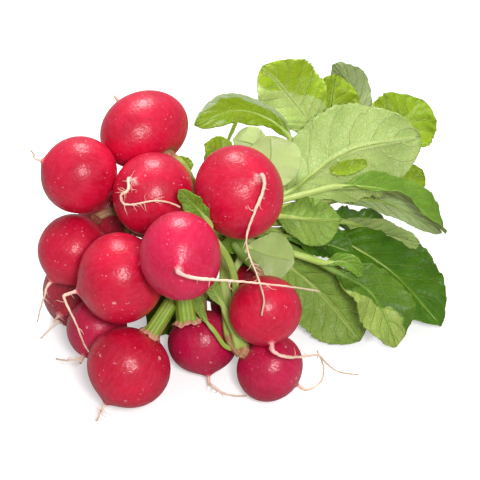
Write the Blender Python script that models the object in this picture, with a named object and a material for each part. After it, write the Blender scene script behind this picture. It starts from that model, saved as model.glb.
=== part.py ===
"""A bunch of round red radishes, tied round the leaf stalks and lying on a surface.

Metres, +Z up. The origin is on the surface, under the middle of the bunch. The tables below are in
millimetres, with their zero on the surface near the tie, and LAYOUT_SHIFT moves them to the origin.
"""

import math
import random

import bmesh
import bpy
import numpy as np
from mathutils import Matrix, Vector
from mathutils.geometry import interpolate_bezier

MM = 0.001
LAYOUT_SHIFT = Vector((-3, -54.5, 0))

# Bulbs: centre, direction of the root, widest girth, thin girth / widest, height, roll of the wide side.
BULBS = {
    "01": ((-43, 64, 88), (-0.6, 0.7, 0.3), 42, 0.79, 34.5, 90),
    "02": ((-70.5, 39, 81.5), (-0.85, -0.1, 0.5), 34.5, 0.96, 33, 0),
    "03": ((-38, 29.5, 78.5), (-0.4, -0.5, 0.75), 36.5, 0.95, 34, 0),
    "04": ((-0.5, 23, 84.5), (0.4, -0.5, 0.75), 41, 0.91, 38, 0),
    "05": ((-24.5, -14, 80), (0, -0.9, 0.4), 37.5, 0.89, 34.5, 0),
    "06": ((-51, -1.5, 56.5), (-0.95, -0.3, -0.1), 40.5, 0.93, 36.5, 0),
    "07": ((-74, 25.5, 50), (-0.55, -0.65, -0.5), 33, 0.97, 32, 0),
    "08": ((-75, 34.5, 17), (-0.4, -0.9, 0), 36, 0.95, 33.5, 0),
    "09": ((-64, 6, 20), (-0.35, -0.9, -0.25), 28.5, 0.97, 27, 0),
    "10": ((-48, -21.5, 23), (-0.55, -0.55, -0.65), 36.5, 0.97, 34.5, 0),
    "11": ((-16.5, 3, 15), (0.15, -0.8, -0.6), 32.5, 0.99, 28.5, 0),
    "12": ((11, -9.5, 45.5), (0.15, -0.95, -0.3), 32, 0.99, 29.5, 0),
    "13": ((13, -13.5, 15), (0.8, -0.1, -0.6), 31.5, 0.94, 28, 0),
    "14": ((-60, 56, 47), (-0.65, 0.75, 0), 31, 0.95, 29, 0),
    "15": ((-38, 53, 15.5), (-0.2, 0.95, -0.2), 33, 0.96, 31, 0),
    "16": ((2, 30, 15.5), (0.85, 0.3, -0.4), 33, 0.96, 31, 0),
}
BULB_SIDES = 14
BULB_RINGS = 11
TAIL_RADIUS = 1.2
TAIL_LENGTH = 1.6
CROWN_RADIUS = 5.0
CROWN_SINK = 0.8
CROWN_HEIGHT = 0.97
TOP_HEAVY = 1.35
LUMP = 0.022
GAP = 0.3

# Taproots: the points that each passes after it leaves the bulb.
ROOTS = {
    "01": [(-55, 85, 88), (-52, 88, 80), (-51, 89, 72)],
    "02": [(-89, 37, 94), (-90, 36, 97)],
    "03": [(-47, 12, 94), (-50, 11, 92), (-48, 9, 89), (-36, 10, 90), (-30, 9, 90), (-25, 7, 89)],
    "04": [(10, 7, 100), (6, 1, 91), (3, -3, 83), (3, -7, 78), (8, -16, 68), (10, -21, 62), (9, -24, 56)],
    "05": [(-20, -36, 88), (-14, -36, 87), (2, -31, 81), (21, -24, 72), (33, -20, 66)],
    "06": [(-75, -9, 53), (-70, -15, 43), (-67, -18, 34), (-65, -20, 31)],
    "07": [(-86, 10, 38), (-88, 8, 33), (-90, 4, 26)],
    "08": [(-82, 13, 18), (-86, 10, 16), (-90, 7, 13)],
    "09": [(-70, -9, 16), (-76, -7, 13), (-82, -4, 11)],
    "10": [(-60, -33, 9), (-62, -35, 4)],
    "11": [(-13, -13, 4), (-8, -16, 2), (-2, -18, 2), (3, -19, 3)],
    "12": [(19, -28, 36), (26, -23, 31), (34, -17, 26), (38, -13, 17), (44, -9, 8), (53, -7, 4)],
    "13": [(31, -16, 4), (36, -13, 6), (37, -10, 12), (34, -8, 20)],
    "14": [(-74, 74, 46), (-80, 80, 42)],
    "15": [(-43, 74, 10), (-45, 81, 5)],
    "16": [(19, 36, 8), (24, 38, 5)],
}
ROOT_TIP_RADIUS = 0.35
ROOT_STEP = 4.5
ROOT_RADIUS = 1.0
ROOT_TAPER = 2.2
ROOT_LEAD = 3.5
FEWEST_ROOT_STEPS = 6

# Leaves: the bulb they grow from, their column and row in the tie (or the points passed, outside it), the
# neck, bend and tip of the blade; then its width, where its upper side faces at the neck and at the tip, how
# far its sides fold up in degrees, and the height of its waves.
LEAVES = {
    "veined_lobe": ("05", (1.5, 1), (17, 43.5, 54.5), (32, 45.6, 51), (46, 49.5, 47.5),
        25, (0.1, 0.5, -0.8), (0.2, 0.5, -0.8), 12, 1.2),
    "right_drooping": ("04", (1, 2), (46, 61, 58), (74, 66, 49), (97, 60, 31),
        22, (0, 0.1, 1), (0.2, 0.1, 1), 30, 1.2),
    "drooping_under": ("05", (0.5, 1), (43, 66, 46.5), (70, 72.5, 39), (96, 66, 26),
        11, (0, 0.6, -0.8), (0.2, 0.6, -0.8), 8, 1),
    "great_pale": ("04", (0, 2), (20, 59, 54), (50, 84.5, 60), (86, 96, 60.5),
        52, (0.2, 0.6, -0.8), (0.2, 0.6, -0.8), 10, 2.5),
    "top_twisted": ("02", (-1.5, 1), (36, 102, 56), (25, 118, 67), (11, 124, 82),
        38, (0.1, -0.6, 0.8), (-0.1, -0.6, 0.8), 15, 2),
    "top_bright": ("07", (-1, 0), (42, 107, 49), (45, 124, 59), (47, 134, 71),
        28, (0.2, -0.6, 0.8), (0.2, -0.6, 0.8), 15, 2),
    "top_curled": ("14", (-0.5, -1), (57, 121, 45), (57, 138, 57), (47, 142, 72),
        20, (0.3, 0.7, -0.6), (-0.3, 0.9, 0.3), 30, 1.5),
    "upper_right": ("06", (0, 0), (66, 106, 44), (80, 121, 50), (91, 132, 57),
        36, (0, -0.6, 0.8), (0, -0.6, 0.8), 12, 2),
    "right_sliver": ("09", (-1, -2), (71, 95, 31), (82, 100, 31), (91, 103, 32),
        20, (0, -0.6, 0.8), (0, -0.6, 0.8), 12, 1),
    "left_drooping": ("01", (-0.5, 1), (24, 97, 59), (2, 101, 72), (-21, 86, 75),
        19, (0, -0.2, 1), (0, -0.4, 0.9), 12, 1),
    "round_front": ("03", (-2, 2), (7, 61, 57), (14, 72, 65.5), (14, 80, 73),
        29, (0.2, 0.6, -0.8), (0.2, 0.6, -0.8), 10, 0.6),
    "round_back": ("03", (0.5, 3), (14, 81, 60.5), (6, 84, 65), (-3, 85, 67),
        18, (0, 0.6, -0.8), (0, 0.6, -0.8), 10, 0.6),
    "pale_under": ("16", [(-11, 17, 32), (-2, 22, 41)], (3.5, 29, 48), (11, 29, 44.5), (24.5, 29, 40),
        23, (0.1, 0.6, -0.8), (0.1, 0.6, -0.8), 8, 0.6),
    "dark_low": ("10", (0.5, -1), (19, 47, 40), (35, 49, 35), (52, 46, 31),
        21, (0, -0.3, 0.9), (0, -0.3, 0.9), 20, 1.5),
    "small_bright": ("13", (1.5, -1), (38, 31, 37.5), (48, 32.4, 36.6), (56, 28.5, 31.5),
        9, (0, -0.4, 0.9), (0, -0.4, 0.9), 30, 0.6),
    "mid_right": ("06", (1, 0), (50, 67, 32), (67, 68, 24), (86, 66, 19),
        22, (0.1, 0.3, -0.9), (0.1, 0.3, -0.9), 20, 1),
    "long_dark": ("16", (0, -2), (41, 59, 30.5), (70, 49, 17.5), (93, 23, 6),
        36, (0.2, -0.2, 1), (0.2, -0.2, 1), 16, 2),
    "edge_grey": ("15", (-0.5, -3), (72, 72, 19), (84, 63, 12), (92, 47, 4),
        16, (0.2, -0.2, 1), (0.2, -0.2, 1), 15, 1.5),
    "lower_pale": ("11", (1, -2), (18, 39, 33), (38, 31, 18), (55, 15, 4),
        36, (0, 0.4, -0.9), (0, 0.4, -0.9), 8, 1.5),
    "bottom_folded": ("12", (2, 0), (44, 32, 31), (60, 23, 25), (71, 7, 8),
        31, (0.3, -0.4, 0.9), (0.2, -0.2, 0.9), 18, 1.8),
    "crinkled": ("11", (0.6, -3.1), (47, 43, 16), (64, 38, 11), (76, 26, 6),
        18, (0.1, -0.3, 0.9), (0.1, -0.3, 0.9), 15, 2),
    "left_small": ("01", (-0.5, 3), (-4, 65, 64), (-10, 69, 71), (-16, 69, 76),
        16, (0, -0.5, 0.8), (0, -0.5, 0.8), 15, 0.5),
    "left_yellow": ("02", [], (-30, 56, 69), (-27, 61, 70), (-25, 66, 71),
        12, (0, -0.5, 0.8), (0, -0.5, 0.8), 15, 0.5),
    "stub_broad": ("13", [(-3, -7, 35)], (-7, -2, 41), (-11, 3, 45), (-14, 9, 49),
        7, (0, -0.8, 0.6), (0, -0.8, 0.6), 10, 0.2),
    "stub_thin": ("13", [], (-14, -7, 35), (-18.5, 1, 39.5), (-21, 9, 43),
        5, (0, -0.8, 0.6), (0, -0.8, 0.6), 10, 0.2),
    "stub_left": ("11", [], (-23, 20, 30), (-27, 21, 33), (-31, 22, 36),
        7, (0, -0.8, 0.6), (0, -0.8, 0.6), 10, 0.2),
    "stub_low": ("10", [], (-34, -4, 36), (-29, 4, 40), (-25, 11, 43),
        7, (0, -0.8, 0.6), (0, -0.8, 0.6), 10, 0.2),
    "torn_strap": ("13", [(-1, 2, 36), (-0.5, 6, 47), (-4.5, 7, 60), (-7.5, 7, 71)],
        (-13, 7, 80.5), (-20, 8.5, 90), (-25.5, 9.5, 96),
        9, (0.3, -0.9, 0.3), (-0.4, -0.6, 0.7), 20, 0.8),
    "back_low": ("09", (-1.5, -1), (20, 100, 30), (30, 118, 24), (38, 130, 14),
        26, (0.3, 0.6, 0.7), (0.3, 0.6, 0.7), 15, 2),
    "back_left": ("08", (-2, 0), (0, 92, 36), (-6, 108, 34), (-14, 122, 30),
        22, (-0.2, 0.6, 0.7), (-0.2, 0.6, 0.7), 15, 2),
    "under_middle": ("15", (-2, -2), (40, 78, 22), (58, 86, 14), (76, 92, 7),
        24, (0.1, 0, 1), (0.1, 0, 1), 15, 2),
}
STALK_RADIUS = 1.3
STALK_SPACING = 3.5
STALK_STEPS = 12
BLADE_STEPS = 12
BLADE_THICKNESS = 0.65
RIB_TIP_RADIUS = 0.35
COLLAR_HEIGHT = 2.2
COLLAR_FOOT = 2.75
COLLAR_TOP = 4.0
COLLAR_SIDES = 10
STALK_SINK = 1.2
CROWN_LEAD = 4.0
CROWN_SPREAD = 0.13
LEAD_SPREAD = 0.22
LOOSE_SPREAD = 1.2
STALK_FLARE = 0.3
FLARED_RINGS = 4
TIE_LEAD = (-7, -3, 3, 7)
AFTER_TIE_CROWDING = 1.35
STIFFNESS = 0.2
WAVES_ALONG = 2.2
TOOTH = 0.05
OUTLINE_START = 0.02
LAST_FULL_SHARE = 0.98
TIP_WIDTH = 0.1
WIDEST_LATE = 1.3
BLUNTNESS = 0.62
EASING_POINTS = 36
EASING_ROUNDS = 140

TIE_CENTRE = Vector((-8, 41, 51.5))
TIE_AXIS = Vector((0.76, 0.64, -0.08)).normalized()
BAND_WIDTH = 4.5
BAND_THICKNESS = 1.4
BAND_STEPS = 28


def new_object(name, data, material):
    """An object in the bunch's collection, in the given material."""
    obj = bpy.data.objects.new(name, data)
    bpy.data.collections["bunch_of_radishes"].objects.link(obj)
    data.materials.append(bpy.data.materials[material])
    return obj


def mesh_from(bm, name):
    """A mesh, in metres, from a bmesh in millimetres, which is freed."""
    mesh = bpy.data.meshes.new(name)
    bm.to_mesh(mesh)
    bm.free()
    mesh.transform(Matrix.Scale(MM, 4) @ Matrix.Translation(LAYOUT_SHIFT))
    return mesh


def standing(direction, roll=0.0):
    """A turn whose Z is the direction and whose X is as upright as it can be, then rolled, in degrees."""
    z = Vector(direction).normalized()
    across = z.cross(Vector((0, 0, 1))).normalized()
    turn = Matrix((across.cross(z), across, z)).transposed()
    return turn @ Matrix.Rotation(math.radians(roll), 3, "Z")


def bulb_turn(key):
    _, root_way, _, _, _, roll = BULBS[key]
    return standing(root_way, roll)


def bulb_point(key, height):
    """The point on a bulb's axis at a height above its centre, towards the root."""
    return Vector(BULBS[key][0]) + bulb_turn(key) @ Vector((0, 0, height))


def crown_height(key):
    """How far behind a bulb's centre its crown is."""
    return BULBS[key][4] / 2 * CROWN_HEIGHT


def lumps(key):
    """A smooth uneven swelling over the directions of a bulb, the same for each run."""
    draw = random.Random("bulb " + key)
    waves = [
        (Vector([draw.uniform(-2, 2) for _ in range(3)]), draw.uniform(0, math.tau))
        for _ in range(5)
    ]
    return lambda way: 1 + LUMP * sum(math.sin(wave.dot(way) + phase) for wave, phase in waves) / 2


def bulb(key):
    """One swollen root: oval, flat at the crown, and drawn out to a short tail where the taproot goes on."""
    _, _, girth, oval, height, _ = BULBS[key]
    swelling = lumps(key)
    bm = bmesh.new()
    bmesh.ops.create_uvsphere(bm, u_segments=BULB_SIDES, v_segments=BULB_RINGS, radius=1)
    for vert in bm.verts:
        way = vert.co.copy()
        ring = round(math.acos(max(-1, min(1, way.z))) / math.pi * BULB_RINGS)
        around = math.atan2(way.y, way.x)
        lean = math.pi * (ring / BULB_RINGS) ** TOP_HEAVY
        radius, z = math.sin(lean), math.cos(lean) * height / 2
        if ring <= 1:
            radius = ring * TAIL_RADIUS / (girth / 2)
            z = height / 2 + TAIL_LENGTH
        if ring >= BULB_RINGS - 1:
            radius = (BULB_RINGS - ring) * CROWN_RADIUS / (girth / 2)
            z = -crown_height(key) + (ring - BULB_RINGS + 1) * CROWN_SINK
        swell = swelling(way) if 1 < ring < BULB_RINGS - 1 else 1
        side = radius * girth / 2 * swell
        vert.co = (side * math.cos(around), side * math.sin(around) * oval, z)
    bmesh.ops.transform(bm, verts=bm.verts, matrix=bulb_turn(key).to_4x4())
    bmesh.ops.translate(bm, verts=bm.verts, vec=BULBS[key][0])
    flat_spot(bm)
    mesh = mesh_from(bm, "radish_" + key)
    mesh.shade_smooth()
    return new_object("radish_" + key, mesh, "red_skin")


def flat_spot(bm):
    """Cuts off what would be under the surface, which leaves a small flat spot to rest on."""
    if min(vert.co.z for vert in bm.verts) >= 0:
        return
    everything = list(bm.verts) + list(bm.edges) + list(bm.faces)
    cut = bmesh.ops.bisect_plane(bm, geom=everything, plane_co=(0, 0, 0), plane_no=(0, 0, 1),
                                 clear_inner=True)
    edges = [part for part in cut["geom_cut"] if isinstance(part, bmesh.types.BMEdge)]
    bmesh.ops.contextual_create(bm, geom=edges)
    bmesh.ops.recalc_face_normals(bm, faces=bm.faces)


def smooth_path(knots, steps, first=0, last=None, crowding=1.0):
    """Points along a smooth curve through the knots, from knot to knot: evenly spaced, or crowded early."""
    end = len(knots) - 1
    last = end if last is None else last
    ways = [(knots[min(i + 1, end)] - knots[max(i - 1, 0)]).normalized() for i in range(len(knots))]
    dense = [knots[first]]
    for i in range(first, last):
        reach = (knots[i + 1] - knots[i]).length / 3
        leave, arrive = knots[i] + ways[i] * reach, knots[i + 1] - ways[i + 1] * reach
        dense += interpolate_bezier(knots[i], leave, arrive, knots[i + 1], 24)[1:]
    lengths = [0.0]
    for start, stop in zip(dense, dense[1:]):
        lengths.append(lengths[-1] + (stop - start).length)
    points, i = [], 0
    for step in range(steps + 1):
        wanted = lengths[-1] * (step / steps) ** crowding
        while i < len(dense) - 2 and lengths[i + 1] < wanted:
            i += 1
        share = (wanted - lengths[i]) / (lengths[i + 1] - lengths[i])
        points.append(dense[i].lerp(dense[i + 1], share))
    return points


def taproot(key):
    """The thin root that goes on from the bulb's tail."""
    _, _, _, _, height, _ = BULBS[key]
    start = bulb_point(key, height / 2 + TAIL_LENGTH + GAP)
    lead = bulb_point(key, height / 2 + TAIL_LENGTH + ROOT_LEAD)
    knots = [start, lead] + [Vector(point) for point in ROOTS[key]]
    length = sum((b - a).length for a, b in zip(knots, knots[1:]))
    points = smooth_path(knots, max(FEWEST_ROOT_STEPS, round(length / ROOT_STEP)))
    curve = bpy.data.curves.new("taproot_" + key, "CURVE")
    curve.dimensions = "3D"
    curve.bevel_depth = MM
    curve.bevel_resolution = 1
    curve.use_fill_caps = True
    spline = curve.splines.new("POLY")
    spline.points.add(len(points) - 1)
    for i, (point, place) in enumerate(zip(spline.points, points)):
        share = i / (len(points) - 1)
        point.co = ((place + LAYOUT_SHIFT) * MM).to_4d()
        point.radius = ROOT_TIP_RADIUS + (ROOT_RADIUS - ROOT_TIP_RADIUS) * (1 - share) ** ROOT_TAPER
    return new_object("taproot_" + key, curve, "pale_root")


def in_tie(name):
    """Whether a leaf's stalk is held in the tie."""
    return isinstance(LEAVES[name][1], tuple)


def tie_place(name):
    """The middle of a stalk inside the tie, where the stalks are packed in rows."""
    column, row = LEAVES[name][1]
    side = TIE_AXIS.cross(Vector((0, 0, 1))).normalized()
    over = side.cross(TIE_AXIS)
    return TIE_CENTRE + (side * column + over * (row * math.sqrt(3) / 2)) * STALK_SPACING


def stalk_route(name):
    """Points along a stalk, from the collar through the tie to the neck of the blade."""
    plant, way_in, neck, bend = LEAVES[name][:4]
    inward = bulb_turn(plant) @ Vector((0, 0, -1))
    crown = bulb_point(plant, -crown_height(plant) - GAP - STALK_SINK)
    lead = crown + inward * CROWN_LEAD
    if in_tie(name):
        slot = tie_place(name)
        lead += (slot - TIE_CENTRE) * LEAD_SPREAD
        crown += (slot - TIE_CENTRE) * CROWN_SPREAD
        passed = [slot + TIE_AXIS * ahead for ahead in TIE_LEAD]
    else:
        passed = [Vector(point) for point in way_in]
        aside = ([*passed, Vector(neck)][0] - lead).normalized()
        crown += aside * LOOSE_SPREAD
        lead += aside * LOOSE_SPREAD * 2
    knots = [crown, lead, *passed, Vector(neck), Vector(bend)]
    return smooth_path(knots, EASING_POINTS - 1, last=len(knots) - 2)


def ease_apart(routes):
    """Bends the stalks clear of each other and of the bulbs. Their ends, and all in the tie, stay put."""
    points = np.array([[tuple(point) for point in route] for route in routes])
    ahead = (points - np.array(TIE_CENTRE)) @ np.array(TIE_AXIS)
    free = np.abs(ahead) > BAND_WIDTH / 2 + 1
    free[:, :3] = free[:, -1:] = False
    strand = np.repeat(np.arange(len(routes)), EASING_POINTS)
    apart = 2 * STALK_RADIUS + 4 * GAP
    for _ in range(EASING_ROUNDS):
        flat = points.reshape(-1, 3)
        gaps = flat[:, None] - flat[None]
        distance = np.linalg.norm(gaps, axis=2) + 1e-9
        push = np.where(strand[:, None] == strand[None], 0, np.clip(apart - distance, 0, None)) / 2
        move = (gaps / distance[..., None] * push[..., None]).sum(axis=1).reshape(points.shape)
        for row in BULBS.values():
            away = points - np.array(row[0])
            reach = np.linalg.norm(away, axis=2)
            short = np.clip(row[2] / 2 * (1 + 2 * LUMP) + STALK_RADIUS + 3 * GAP - reach, 0, None)
            move += away / reach[..., None] * short[..., None]
        straight = np.zeros_like(points)
        straight[:, 1:-1] = (points[:, :-2] + points[:, 2:]) / 2 - points[:, 1:-1]
        points += np.where(free[..., None], move + STIFFNESS * straight, 0)
    return [[Vector(point) for point in route] for route in points]


def leaf_routes():
    """The eased route of every stalk, by leaf."""
    return dict(zip(LEAVES, ease_apart([stalk_route(name) for name in LEAVES])))


def stalk_rings(name, route):
    """The middles of a stalk's rings: even along it on each side of the tie, with none inside the tie."""
    if not in_tie(name):
        return smooth_path(route, STALK_STEPS)
    held = BAND_WIDTH / 2 + 1
    ahead = [(point - TIE_CENTRE).dot(TIE_AXIS) for point in route]
    leave = max(i for i, reach in enumerate(ahead) if reach < held) + 1
    enter = max(i for i, reach in enumerate(ahead[:leave]) if reach < -held)
    before = smooth_path([*route[: enter + 1], tie_place(name) - TIE_AXIS * held], STALK_STEPS // 2)
    steps = STALK_STEPS - 1 - STALK_STEPS // 2
    onward = [tie_place(name) + TIE_AXIS * held, *route[leave:]]
    after = smooth_path(onward, steps, crowding=AFTER_TIE_CROWDING)
    return before + after


def leaf_outline(t, width):
    """Half the blade's width at a share t of its length: widest past the middle, and round at the tip."""
    if t > LAST_FULL_SHARE:
        return width * TIP_WIDTH
    share = min(1, t + OUTLINE_START)
    return width / 2 * math.sin(math.pi * share ** WIDEST_LATE) ** BLUNTNESS


def leaf_sections(name, route):
    """The rings of a leaf, from inside the collar at the crown to the tip, each six points round."""
    _, _, neck, bend, tip, width, face_neck, face_tip, fold, wave = LEAVES[name]
    stalk = stalk_rings(name, route)
    blade = smooth_path([stalk[-2], Vector(neck), Vector(bend), Vector(tip)], BLADE_STEPS, first=1)
    spine = stalk[:-1] + blade
    draw = random.Random("leaf " + name)
    phases = [draw.uniform(0, math.tau) for _ in range(2)]
    rings = []
    for i, point in enumerate(spine):
        way = (spine[min(i + 1, len(spine) - 1)] - spine[max(i - 1, 0)]).normalized()
        t = max(0.0, (i - STALK_STEPS) / BLADE_STEPS)
        face = Vector(face_neck).lerp(Vector(face_tip), t)
        up = (face - way * face.dot(way)).normalized()
        flare = 1 + STALK_FLARE * max(0, 1 - i / FLARED_RINGS) ** 2
        rib = (STALK_RADIUS + (RIB_TIP_RADIUS - STALK_RADIUS) * t) * flare
        half = max(rib, leaf_outline(t, width) * (1 + TOOTH * (-1) ** i)) if i > STALK_STEPS else rib
        rings.append(ring_round(point, way.cross(up), up, half, rib, fold, wave, t, phases))
    return rings


def ring_round(point, across, up, half, rib, fold, wave, t, phases):
    """Six points round one section: three over the upper side, then three back under the lower side."""
    flat = min(1.0, (half - rib) / (2 * rib))
    tilt = math.radians(fold) * flat
    upper, lower = [], []
    for share in (-1, 0, 1):
        ripple = wave * flat * abs(share) * math.sin(math.tau * WAVES_ALONG * t + phases[share > 0])
        out = share * half * math.cos(tilt)
        lift = abs(share) * half * math.sin(tilt) + ripple
        round_half = rib * (0.5 if share else 1)
        thick = round_half + (BLADE_THICKNESS / 2 - round_half) * (flat if share else 0.3 * flat)
        middle = point + across * out + up * lift
        upper.append(middle + up * thick)
        lower.append(middle - up * thick)
    return upper + lower[::-1]


def loft(rings, name):
    """A closed skin over the rings, cut into triangles alike on both sides of a thin blade."""
    bm = bmesh.new()
    rows = [[bm.verts.new(point) for point in ring] for ring in rings]
    count = len(rows[0])
    half = count // 2
    for low, high in zip(rows, rows[1:]):
        for i in range(count):
            j = (i + 1) % count
            if i < half:
                bm.faces.new((low[i], low[j], high[i]))
                bm.faces.new((low[j], high[j], high[i]))
            else:
                bm.faces.new((low[i], low[j], high[j]))
                bm.faces.new((low[i], high[j], high[i]))
    for row in (rows[0], rows[-1]):
        for i in range(half - 1):
            bm.faces.new((row[i], row[i + 1], row[count - 2 - i]))
            bm.faces.new((row[i], row[count - 2 - i], row[count - 1 - i]))
    bmesh.ops.recalc_face_normals(bm, faces=bm.faces)
    return mesh_from(bm, name)


def collar(key):
    """The short stem on a bulb's crown that its leaf stalks grow from."""
    bm = bmesh.new()
    bmesh.ops.create_cone(bm, cap_ends=True, segments=COLLAR_SIDES, radius1=COLLAR_FOOT,
                          radius2=COLLAR_TOP, depth=COLLAR_HEIGHT)
    bmesh.ops.transform(bm, verts=bm.verts, matrix=bulb_turn(key).to_4x4())
    middle = bulb_point(key, -crown_height(key) - GAP - COLLAR_HEIGHT / 2)
    bmesh.ops.translate(bm, verts=bm.verts, vec=middle)
    return mesh_from(bm, "collar_" + key)


def foliage(key, routes):
    """All that is green on one radish: the collar, with its leaves joined to it."""
    helpers = bpy.data.collections.new("leaves_to_join_" + key)
    bpy.context.scene.collection.children.link(helpers)
    obj = new_object("leaves_" + key, collar(key), "leaf_green")
    for name in [name for name, row in LEAVES.items() if row[0] == key]:
        leaf = bpy.data.objects.new(name, loft(leaf_sections(name, routes[name]), name))
        helpers.objects.link(leaf)
    join = obj.modifiers.new("join", "BOOLEAN")
    join.operation = "UNION"
    join.operand_type = "COLLECTION"
    join.collection = helpers
    joined = bpy.data.meshes.new_from_object(obj.evaluated_get(bpy.context.evaluated_depsgraph_get()))
    obj.modifiers.clear()
    obj.data = joined
    for leaf in list(helpers.objects):
        bpy.data.objects.remove(leaf)
    bpy.data.collections.remove(helpers)
    obj.data.shade_smooth()
    return obj


def band():
    """The elastic band that holds the bundle of stalks."""
    reach = max((tie_place(name) - TIE_CENTRE).length for name in LEAVES if in_tie(name))
    inner = reach + STALK_RADIUS + 3 * GAP
    bm = bmesh.new()
    corners = [(inner, -1), (inner + BAND_THICKNESS, -1), (inner + BAND_THICKNESS, 1), (inner, 1)]
    verts = [bm.verts.new((x, 0, z * BAND_WIDTH / 2)) for x, z in corners]
    edges = [bm.edges.new((a, b)) for a, b in zip(verts, verts[1:] + verts[:1])]
    bmesh.ops.spin(bm, geom=verts + edges, cent=(0, 0, 0), axis=(0, 0, 1), angle=math.tau,
                   steps=BAND_STEPS, use_merge=True)
    bmesh.ops.recalc_face_normals(bm, faces=bm.faces)
    bmesh.ops.transform(bm, verts=bm.verts, matrix=standing(TIE_AXIS).to_4x4())
    bmesh.ops.translate(bm, verts=bm.verts, vec=TIE_CENTRE)
    return new_object("rubber_band", mesh_from(bm, "rubber_band"), "band_rubber")


def material(name, colour, roughness):
    """A plain finish."""
    made = bpy.data.materials.new(name)
    made.use_nodes = True
    shader = made.node_tree.nodes["Principled BSDF"]
    shader.inputs["Base Color"].default_value = (*colour, 1)
    shader.inputs["Roughness"].default_value = roughness
    shader.inputs["Metallic"].default_value = 0


def main():
    for obj in list(bpy.data.objects):
        bpy.data.objects.remove(obj)
    bpy.context.scene.collection.children.link(bpy.data.collections.new("bunch_of_radishes"))
    material("red_skin", (0.60, 0.01, 0.06), 0.35)
    material("pale_root", (0.80, 0.55, 0.48), 0.6)
    material("leaf_green", (0.16, 0.33, 0.03), 0.5)
    material("band_rubber", (0.62, 0.42, 0.20), 0.6)
    for key in BULBS:
        bulb(key)
    for key in ROOTS:
        taproot(key)
    routes = leaf_routes()
    for key in BULBS:
        foliage(key, routes)
    band()


main()
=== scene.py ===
"""The looks of a tied bunch of round red radishes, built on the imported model.

The tables are in millimetres, in the bunch's own layout, and LAYOUT_SHIFT moves them to the model's frame.
"""

import math
import random

import bmesh
import bpy
import numpy as np
from mathutils import Matrix, Vector
from mathutils.geometry import interpolate_bezier


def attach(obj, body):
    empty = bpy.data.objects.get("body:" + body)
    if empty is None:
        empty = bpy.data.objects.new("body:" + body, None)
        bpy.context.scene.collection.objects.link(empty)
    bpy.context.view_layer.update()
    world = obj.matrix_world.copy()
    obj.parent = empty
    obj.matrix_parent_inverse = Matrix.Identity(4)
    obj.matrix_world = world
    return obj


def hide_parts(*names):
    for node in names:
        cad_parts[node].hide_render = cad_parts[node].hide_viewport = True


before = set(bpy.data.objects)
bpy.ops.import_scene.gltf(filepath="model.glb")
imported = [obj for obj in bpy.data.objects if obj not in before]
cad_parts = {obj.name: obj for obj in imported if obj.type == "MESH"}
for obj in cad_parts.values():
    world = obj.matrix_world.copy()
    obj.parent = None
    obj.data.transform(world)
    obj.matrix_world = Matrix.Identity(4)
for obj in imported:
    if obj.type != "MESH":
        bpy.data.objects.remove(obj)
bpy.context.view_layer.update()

MM = 0.001
LAYOUT_SHIFT = Vector((-3, -54.5, 0))

# Bulbs: centre, direction of the root, widest girth, thin girth / widest, height, roll of the wide side.
BULBS = {
    "01": ((-43, 64, 88), (-0.6, 0.7, 0.3), 42, 0.79, 34.5, 90),
    "02": ((-70.5, 39, 81.5), (-0.85, -0.1, 0.5), 34.5, 0.96, 33, 0),
    "03": ((-38, 29.5, 78.5), (-0.4, -0.5, 0.75), 36.5, 0.95, 34, 0),
    "04": ((-0.5, 23, 84.5), (0.4, -0.5, 0.75), 41, 0.91, 38, 0),
    "05": ((-24.5, -14, 80), (0, -0.9, 0.4), 37.5, 0.89, 34.5, 0),
    "06": ((-51, -1.5, 56.5), (-0.95, -0.3, -0.1), 40.5, 0.93, 36.5, 0),
    "07": ((-74, 25.5, 50), (-0.55, -0.65, -0.5), 33, 0.97, 32, 0),
    "08": ((-75, 34.5, 17), (-0.4, -0.9, 0), 36, 0.95, 33.5, 0),
    "09": ((-64, 6, 20), (-0.35, -0.9, -0.25), 28.5, 0.97, 27, 0),
    "10": ((-48, -21.5, 23), (-0.55, -0.55, -0.65), 36.5, 0.97, 34.5, 0),
    "11": ((-16.5, 3, 15), (0.15, -0.8, -0.6), 32.5, 0.99, 28.5, 0),
    "12": ((11, -9.5, 45.5), (0.15, -0.95, -0.3), 32, 0.99, 29.5, 0),
    "13": ((13, -13.5, 15), (0.8, -0.1, -0.6), 31.5, 0.94, 28, 0),
    "14": ((-60, 56, 47), (-0.65, 0.75, 0), 31, 0.95, 29, 0),
    "15": ((-38, 53, 15.5), (-0.2, 0.95, -0.2), 33, 0.96, 31, 0),
    "16": ((2, 30, 15.5), (0.85, 0.3, -0.4), 33, 0.96, 31, 0),
}

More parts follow.
